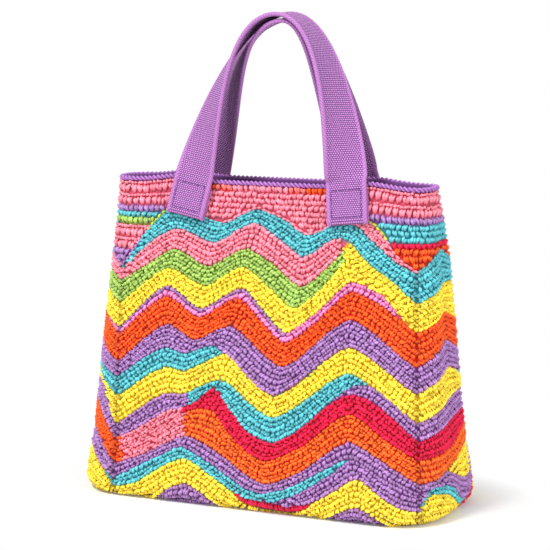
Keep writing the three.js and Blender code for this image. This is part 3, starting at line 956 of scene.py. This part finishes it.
band, share_round, share_up = lay_grid(YOKE_COLUMNS, YOKE_LINES, on_yoke)
band_area, across = area_of(band), np.linspace(-1, 1, 200)
band_deep = max((rim_rise(side, across) - rise_of(tops[side](across))).max()
                for side in range(4))
rim_places = round_bag(np.linspace(0, 1, 801), lambda side, across, here: at_rim(side, across))
band_round = run_of(rim_places)
band_yarn = round_bag(share_round, lambda side, across, here: yoke_yarn(
    side, across, share_up[here]))
yoke_cloth = put_cloth("yoke_cloth", band, band_yarn, np.c_[share_round, share_up] * YOKE_PLIES,
                       "yoke")
print("yoke", round(band_round), "by", round(band_deep), "mm,", round(band_area * 1e4), "square cm")

# %% [markdown]
# ## The base
# The flat base is not seen in the picture. It is worked in plain lilac rows, as such bags are,
# and its stitches lie on the table.

# %% Base cloth and stitches
BASE_ROW, BASE_STITCH, BASE_LIFT, BASE_PLIES = 6.0, 5.8, 1.5, (65, 26)
base_x, base_y, base_corner = section(0, BOTTOM_ROUND)


def base_reach(y):
    past = np.maximum(0, np.abs(y) - (base_y - base_corner))
    return base_x - base_corner + np.sqrt(np.maximum(0, base_corner**2 - past**2))


base_legs = []
for row, y in enumerate(np.arange(-base_y + 3, base_y - 2, BASE_ROW)):
    reach = float(base_reach(y)) - 1
    count = round(2 * reach / BASE_STITCH)
    x = -reach + (np.arange(count) + 0.5) * 2 * reach / count
    spots = {"at": np.c_[x, np.full(count, y), np.full(count, BASE_LIFT)], "tall": BASE_ROW,
             "pitch": 2 * reach / count, "along": np.array([[1, 0, 0]]),
             "up": np.array([[0, -1, 0]]), "out": np.array([[0, 0, -1]])}
    base_legs += vee(spots, LILAC, LEAN * turned(row))
base_stitches = stitched("base_stitches", base_legs, yarn)


def on_base(s, t):
    y = (1 - 2 * t) * base_y
    return np.c_[(2 * s - 1) * base_reach(y), y, np.full(len(s), BASE_LIFT + 0.2)]


base_shape, s, t = lay_grid(60, 24, on_base)
base_cloth = put_cloth("base_cloth", base_shape, np.tile(LILAC, (len(s), 1)),
                       np.c_[s, t] * BASE_PLIES, "base_panel")

# %% [markdown]
# ## The corded rim
# The mouth is bound with a folded purple tape, whose inner half lies down inside as a facing, and
# a twisted two-strand cord runs along the fold. The tape is one grid, whose short side follows
# the tape's cross-section, given as (out of the wall, above the rim).

# %% Binding tape
TAPE = [(-1.2, -0.5), (-1.0, 0.8), (-1.6, 1.8), (-3, 2.4), (-4.8, 2.4), (-7.0, 1.8), (-8.0, 0.5),
        (-8.1, -9), (-8.2, -20)]
TAPE_THICK, MERGE_WITHIN = 1.0, 0.00002
CORD_OUT, CORD_UP, CORD_LAY = -1.0, 1.9, 8.6


def on_tape(s, t):
    turn = t * (len(TAPE) - 1)
    out, above = (np.interp(turn, range(len(TAPE)), column) for column in np.transpose(TAPE))
    return round_bag(s, lambda side, across, here: at_rim(side, across, above[here], out[here]))


def merged(shape):
    bmesh.ops.remove_doubles(shape, verts=shape.verts[:], dist=MERGE_WITHIN)
    return shape


tape_shape = merged(lay_grid(200, 24, on_tape)[0])
bmesh.ops.solidify(tape_shape, geom=tape_shape.faces[:], thickness=TAPE_THICK * MM)
tape_mesh = mesh_of("rim_tape", tape_shape)
rim_share = np.linspace(0, 1, 1601)
rim_line = round_bag(rim_share, lambda side, across, here: at_rim(side, across, CORD_UP, CORD_OUT))
rim_out = round_bag(rim_share, lambda side, across, here: unit(
    at_rim(side, across, out=1) - at_rim(side, across)))
rim_length = run_along(rim_line)
turns = round(rim_length[-1] / CORD_LAY)
print("rim", round(rim_length[-1]), "mm round,", turns, "turns of the cord")

# %% [markdown]
# A strand of the cord is a tube that winds round the line of the rim, made from one grid whose
# edges are merged. It has painted shade on the side that faces the other strand, in the groove
# between them, and is lighter on its outer side.

# %% Twisted cord
STRANDS, CORD_WIND, STRAND_THICK, CORD_DARK, CORD_LIGHTER = 2, 1.0, 1.3, 0.66, 0.42
TUBE_CORNERS, TUBE_STEPS = 8, 10
# The facing's colour is a purple tape darkened with painted shade, for the shade inside the mouth.
CORD_YARN, SHADED_FACING_YARN = dye(190, 126, 208), dye(102, 54, 118)


def on_strand(first):
    def place(s, t):
        run = t * rim_length[-1]
        way = unit(lookup(run, rim_length, np.gradient(rim_line, rim_length, axis=0)))
        out = unit(lookup(run, rim_length, rim_out))
        up = unit(np.cross(way, out))
        wind, around = 2 * pi * (t * turns + first), 2 * pi * s
        reach = CORD_WIND * np.cos(wind) + STRAND_THICK * np.cos(around)
        lift = CORD_WIND * np.sin(wind) + STRAND_THICK * np.sin(around)
        return lookup(run, rim_length, rim_line) + out * reach[:, None] + up * lift[:, None]
    return place


cord_shape = bmesh.new()
for strand in range(STRANDS):
    tube, s, t = lay_grid(TUBE_CORNERS, turns * TUBE_STEPS, on_strand(strand / STRANDS))
    # Painted light on each strand's outer side and painted shade where it meets the other strand.
    outward = np.clip(np.cos(2 * pi * (s - t * turns - strand / STRANDS)), 0, 1)
    layer = tube.verts.layers.float_color.new("yarn")
    for vert, light in zip(tube.verts, CORD_DARK + CORD_LIGHTER * outward):
        vert[layer] = (*(CORD_YARN * light), 1)
    tube_mesh = mesh_of("strand", merged(tube))
    cord_shape.from_mesh(tube_mesh)
    bpy.data.meshes.remove(tube_mesh)
cord_mesh = mesh_of("rim_cord", cord_shape)
# The tape is coloured with the facing's purple and painted shade.
set_yarn(tape_mesh, np.tile(SHADED_FACING_YARN, (len(tape_mesh.vertices), 1)))
for mesh in (tape_mesh, cord_mesh):
    points = np.zeros(len(mesh.vertices) * 3)
    mesh.vertices.foreach_get("co", points)
    x, y, z = points.reshape(-1, 3)[corners_of(mesh)].T / MM
    set_map(mesh, "strand", np.c_[x * 0.7 + y, z * 0.3])
rim_cord = put_piece("rim_cord", cord_mesh, cord_yarn)
rim_tape = put_piece("rim_tape", tape_mesh, cord_yarn, ["rim_binding"])
run_of(TAPE) * MM
print("cord", len(cord_mesh.polygons), "faces, tape", round(run_of(TAPE)), "mm wide")

# %% [markdown]
# ## The webbing finish
# Bag webbing is woven in tight ribs that look like rows of small beads, with a plaited edge on
# both sides. The colour is painted dark in the grooves and light on the beads and plaits, as shade
# and highlight on the weave. The wrong side, which lies inwards, gets painted shade. The pattern
# reads the strap's own map, in millimetres across and along, so it turns and bends with the strap.

# %% Webbing material
BEAD_WIDE, BEAD_LONG, PLAIT_WIDE, PLAIT_LONG, EDGE_FROM = 2.2, 1.85, 3.4, 3.0, 15.4
WEB_LIGHT, WEB_DARK, WEB_FIBRE = dye(212, 142, 217), dye(80, 36, 106), 1300.0


def webbing_finish():
    material, tree = new_material("webbing")
    across = tree.node("SeparateXYZ", {0: tree.node("UVMap", uv_map="weave")})
    along, fibre = across.beside(1), tree.noise(WEB_FIBRE)
    row = tree.math("FLOOR", along / BEAD_LONG)
    offset = across + tree.math("FLOORED_MODULO", row, 2.0) * (BEAD_WIDE / 2)
    grain = (offset * (pi / BEAD_WIDE)).sin() * (along * (pi / BEAD_LONG)).sin()
    bead = tree.math("ABSOLUTE", grain).ramp(0.0, 0.75, kind="SMOOTHSTEP")
    from_middle = tree.math("ABSOLUTE", across)
    slant = from_middle * (pi / PLAIT_WIDE) + along * (pi / PLAIT_LONG)
    plait = tree.math("ABSOLUTE", slant.sin()).ramp(0.0, 0.8, 0.4, 0.74, "SMOOTHSTEP")
    edge = tree.math("GREATER_THAN", from_middle, EDGE_FROM)
    height = bead * (1 - edge) + plait * edge
    # The colour goes from dark in the weave's grooves to light on its beads and plaits: painted
    # shade and highlight on the weave.
    colour = tree.node("Mix", {0: height, 6: (*WEB_DARK, 1), 7: (*WEB_LIGHT, 1)}, 2,
                       data_type="RGBA")
    # The strap's inner side gets painted shade.
    inner_side_shade = tree.node("Attribute", out="Fac", attribute_name="inner_side_shade")
    bump = {"Strength": 0.8, "Distance": 0.0006, "Height": height + fibre * 0.2}
    tree.put(material.node_tree.nodes["Principled BSDF"], {
        "Base Color": colour.tint((0.86 + fibre * 0.28) * (1 - inner_side_shade * 0.42)),
        "Roughness": 0.78 - height * 0.15, "Normal": tree.node("Bump", bump),
        "Sheen Weight": 0.1, "Specular IOR Level": 0.3})
    return material


webbing = webbing_finish()
print("made", webbing.name)

# %% [markdown]
# ## The handles
# Each handle is one length of webbing. Its ends are turned under and sewn flat to the wall; from
# there it rises, twists a quarter turn and crosses over the mouth, where the two handles lie one
# above the other. The back handle is made like the front one and turned round at the end.

# %% Path of a strap
STRAP_SEAT, STRAP_THICK, STRAP_SEWN, HEM_LENGTH = 4.3, 3.0, 35, 28
WALL_LEAN = (BASE_DEPTH - MOUTH_DEPTH) / 2 / BAG_HEIGHT
WALL_UP, WALL_OUT = unit(np.array([0, WALL_LEAN, 1])), unit(np.array([0, -1, WALL_LEAN]))
HANDLES = {
    "front": {"crown": (6.5, 0, 440), "slants": (10.8, 6.2), "runs": (45, 30),
              "shoulders": (52, 48), "twist": 1, "eases": (0.92, 0.5)},
    "back": {"crown": (-11.8, -2.5, 435), "slants": (14.8, 16.5), "runs": (73, 33),
             "shoulders": (26.6, 54), "twist": -0.97, "eases": (0.62, 1.55)},
}
SEWN_STOPS, LEG_STOPS, TWIST_FROM = 14, 70, BAG_HEIGHT + 4


def strap_line(leg, slant, out):
    """Where a leg passes the rim, and the way it goes there."""
    rim = np.array([STRAP_SHIFT + leg * STRAP_SPACING / 2, -MOUTH_DEPTH / 2, BAG_HEIGHT])
    slant = math.radians(slant)
    way = WALL_UP * math.cos(slant) + np.array([-leg * math.sin(slant), 0, 0])
    return rim + WALL_OUT * out, way


def half_path(shape, index):
    """From a sewn end up to the crown."""
    leg, crown = (-1, 1)[index], np.array(shape["crown"], float)
    rim, way = strap_line(leg, shape["slants"][index], STRAP_SEAT + STRAP_THICK / 2)
    sewn = rim - way * STRAP_SEWN * np.linspace(1, 0, SEWN_STOPS)[:-1, None]
    t = np.linspace(0, 1, LEG_STOPS)[:, None]
    pull = rim + way * shape["runs"][index]
    shoulder = crown + (leg * shape["shoulders"][index], 0, 0)
    arch = rim * (1 - t) ** 3 + pull * 3 * t * (1 - t) ** 2
    return np.concatenate([sewn, arch + shoulder * 3 * t**2 * (1 - t) + crown * t**3])


def strap_frames(shape):
    left, right = half_path(shape, 0), half_path(shape, 1)
    path = np.concatenate([left, right[-2::-1]])
    ease = np.where(np.arange(len(path)) < len(left), *shape["eases"])
    way = unit(np.gradient(path, axis=0))
    share = np.clip((path[:, 2] - TWIST_FROM) / (shape["crown"][2] - TWIST_FROM), 0, 1)
    turn = (shape["twist"] * pi / 2 * share**ease)[:, None]
    facing = WALL_OUT * (1 - share[:, None]) + np.array([0, -1, 0]) * share[:, None]
    facing = unit(facing - way * (facing * way).sum(-1, keepdims=True))
    out = facing * np.cos(turn) + np.cross(facing, way) * np.sin(turn)
    return path, way, out, np.cross(way, out)


for word, shape in HANDLES.items():
    print(word, "strap,", round(run_of(strap_frames(shape)[0])), "mm between its ends")


# %% [markdown]
# The turned end goes back up behind the strap. In the path it is a half circle at each end and a
# short straight run under the face, with the cloth's upper side now looking inwards. The strap is
# a closed band: a grid whose one side runs round the strap's cross-section and whose other side
# runs along it. Its wrong side gets painted shade, strongest towards the ends and faint at the
# crown.

# %% Turned ends and cross-section
HALF_SECTION = [(-19, 0), (-18.7, 1.3), (-17.6, 2.0), (-16.4, 1.9), (-15.4, 1.4), (-9, 1.35),
                (0, 1.4), (9, 1.35), (15.4, 1.4), (16.4, 1.9), (17.6, 2.0), (18.7, 1.3)]
STRAP_SECTION = np.array(HALF_SECTION + [(-x, -y) for x, y in HALF_SECTION] + HALF_SECTION[:1])
EDGE_TURN, FOLD, CROWN_LIT, WRONG_HALF = 18, 1.7, 0.75, (0.51, 0.99)
SECTION_MAP = [x + math.copysign(abs(STRAP_THICK / 2 - abs(y)) * (abs(x) > EDGE_TURN), x)
               for x, y in STRAP_SECTION]


def turned_end(at, way, out, across):
    """Stops from the hidden end of the hem to the edge of the face; way points up the strap."""
    back, centre = at - out * 2 * FOLD, at - out * FOLD + way * FOLD
    stops = [(back + way * up, -out) for up in np.linspace(HEM_LENGTH, FOLD, 8)]
    for angle in np.linspace(-1, 1, 9)[1:-1] * pi / 2:
        face = out * math.sin(angle) - way * math.cos(angle)
        stops.append((centre + face * FOLD, face))
    return [(point, face, across) for point, face in stops]


def strap_stops(shape):
    path, way, out, across = strap_frames(shape)
    first = turned_end(path[0], way[0], out[0], across[0])
    last = turned_end(path[-1], -way[-1], out[-1], across[-1])[::-1]
    body = list(zip(path, out, across))[1:-1]
    return [np.array(column) for column in zip(*first, *body, *last)]


print("stops along a strap:", len(strap_stops(HANDLES["front"])[0]))

# %% The finished straps
for word, shape in HANDLES.items():
    points, faces, across = strap_stops(shape)
    if word == "back":
        points, faces, across = (v * (-1, -1, 1) for v in (points, faces, across))
    run = run_along(points)
    corners, stops = len(STRAP_SECTION) - 1, len(points) - 1

    def on_strap(s, t):
        k, j = np.rint(s * corners).astype(int), np.rint(t * stops).astype(int)
        x, y = STRAP_SECTION[k].T
        return points[j] + across[j] * x[:, None] + faces[j] * y[:, None]

    band, s, t = lay_grid(corners, stops, on_strap)
    # Painted shade on the strap's inner side, strongest low down and faint at the crown.
    inner_side_shade = band.verts.layers.float.new("inner_side_shade")
    for vert, place in zip(band.verts, s):
        rise = (vert.co.z / MM - BAG_HEIGHT) / (shape["crown"][2] - BAG_HEIGHT)
        hidden = WRONG_HALF[0] < place < WRONG_HALF[1]
        vert[inner_side_shade] = hidden * (1 - CROWN_LIT * max(rise, 0) ** 2)
    weave = band.loops.layers.uv.new("weave")
    for face in band.faces:
        for loop in face.loops:
            j, k = divmod(loop.vert.index, corners + 1)
            loop[weave].uv = (SECTION_MAP[k], run[j])
    merged(band)
    bmesh.ops.holes_fill(band, edges=[e for e in band.edges if e.is_boundary], sides=0)
    bmesh.ops.recalc_face_normals(band, faces=band.faces[:])
    mesh = mesh_of(f"{word}_strap", band)
    strap = put_piece(f"{word}_strap", mesh, webbing, [f"{word}_handle"])
    print(strap.name, len(mesh.polygons), "faces,", round(run[-1]), "mm of webbing")


# %% [markdown]
# ## The sewn boxes
# Each strap end is held by a box of stitching in matching thread. The same rolled leg that makes
# the yarn makes the thread, only thinner and longer.

# %% Boxes of thread
BOX_INSET, BOX_ABOVE, THREAD_STITCH, THREAD_THICK = 5, 6, 3.1, 0.5
THREAD_DIVE, THREAD_HALF, THREAD_YARN = (-0.3, 0.4), 0.46, PURPLE * 0.6
thread = cotton("sewing_thread", 0.4, 0.3)
for word, shape in HANDLES.items():
    for index, end in enumerate(("left", "right")):
        rim, way = strap_line((-1, 1)[index], shape["slants"][index], STRAP_SEAT + STRAP_THICK)
        across = np.cross(way, WALL_OUT)
        wide, tall = STRAP_WIDTH - 2 * BOX_INSET, STRAP_SEWN - BOX_ABOVE - BOX_INSET
        low = rim + way * (BOX_INSET - STRAP_SEWN)
        left, right = low - across * wide / 2, low + across * wide / 2
        box_legs = []
        for begin, run, length in ((left, across, wide), (right, way, tall),
                                   (right + way * tall, -across, wide),
                                   (left + way * tall, -way, tall)):
            count = round(length / THREAD_STITCH)
            step = length / count
            spots = {"at": begin + run * ((np.arange(count) + 0.5) * step)[:, None],
                     "along": np.cross(run, WALL_OUT)[None], "up": run[None], "out": WALL_OUT[None]}
            box_legs.append(lay_legs(spots, (0, -THREAD_HALF * step), (0, THREAD_HALF * step),
                                     THREAD_THICK, THREAD_YARN, THREAD_DIVE))
        if word == "back":
            box_legs = [(points * (-1, -1, 1), *rest) for points, *rest in box_legs]
        stitched(f"{word}_{end}_thread", box_legs, thread, [f"{word}_{end}_stitching"])


# %% [markdown]
# ## Size
# The box round all the visual pieces is printed. The visual pieces may stand only a little
# proud of the CAD part.

# %% Size of the visual pieces
low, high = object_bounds()
print("visual box", [round(c, 4) for c in low], [round(c, 4) for c in high])
